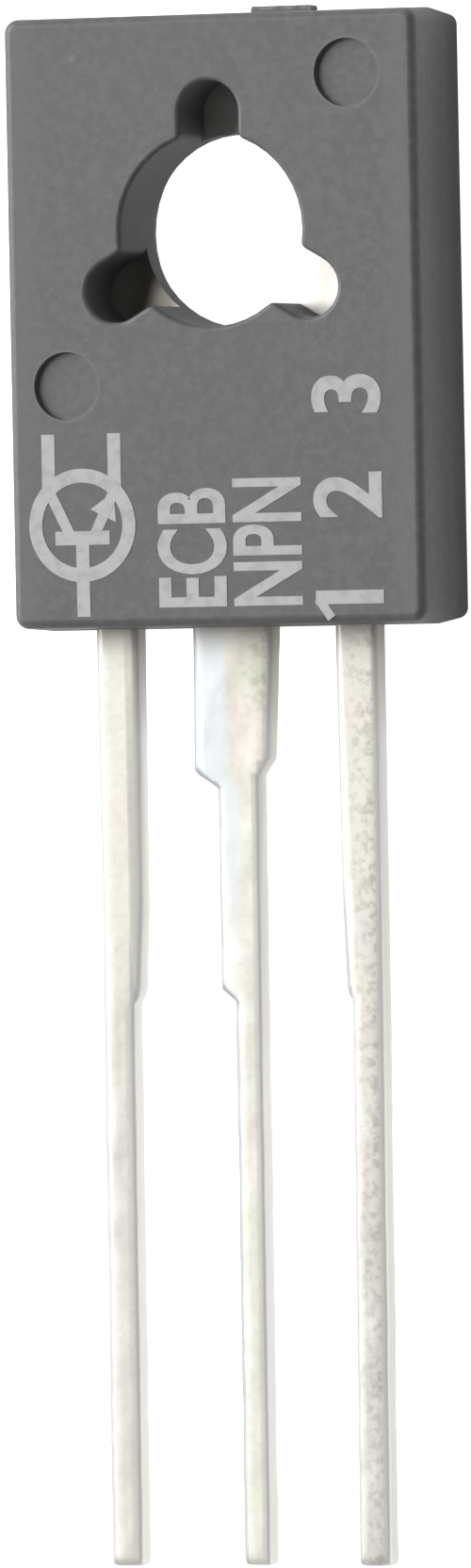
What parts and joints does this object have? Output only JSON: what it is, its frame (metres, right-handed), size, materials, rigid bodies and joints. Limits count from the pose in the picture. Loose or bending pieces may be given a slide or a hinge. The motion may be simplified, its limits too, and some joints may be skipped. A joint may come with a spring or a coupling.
{
  "type": "plastic power transistor",
  "caption": "Flat moulded plastic power transistor with a mounting hole, a metal heatsink pad on its back and straight tinned leads for a circuit board.",
  "frame": {"origin": "axis of the mounting hole, on the heatsink face that the part lies on", "axes": "+Z out of the marked face, +Y along the leads towards the hole end of the body, +X across the body"},
  "size_m": [0.0076, 0.027, 0.0026],
  "materials": {
    "epoxy": "satin moulded, dark grey",
    "tinned_copper": "solder dipped, bright and slightly mottled",
    "solder": "dull",
    "silicon": "polished chip",
    "aluminium_wire": "drawn wire"
  },
  "bodies": {
    "root": {"package_body": "epoxy", "collector_frame": "tinned_copper", "emitter_lead": "tinned_copper", "base_lead": "tinned_copper", "die_solder": "solder", "silicon_die": "silicon", "emitter_bond_wire": "aluminium_wire", "base_bond_wire": "aluminium_wire"}
  },
  "joints": []
}
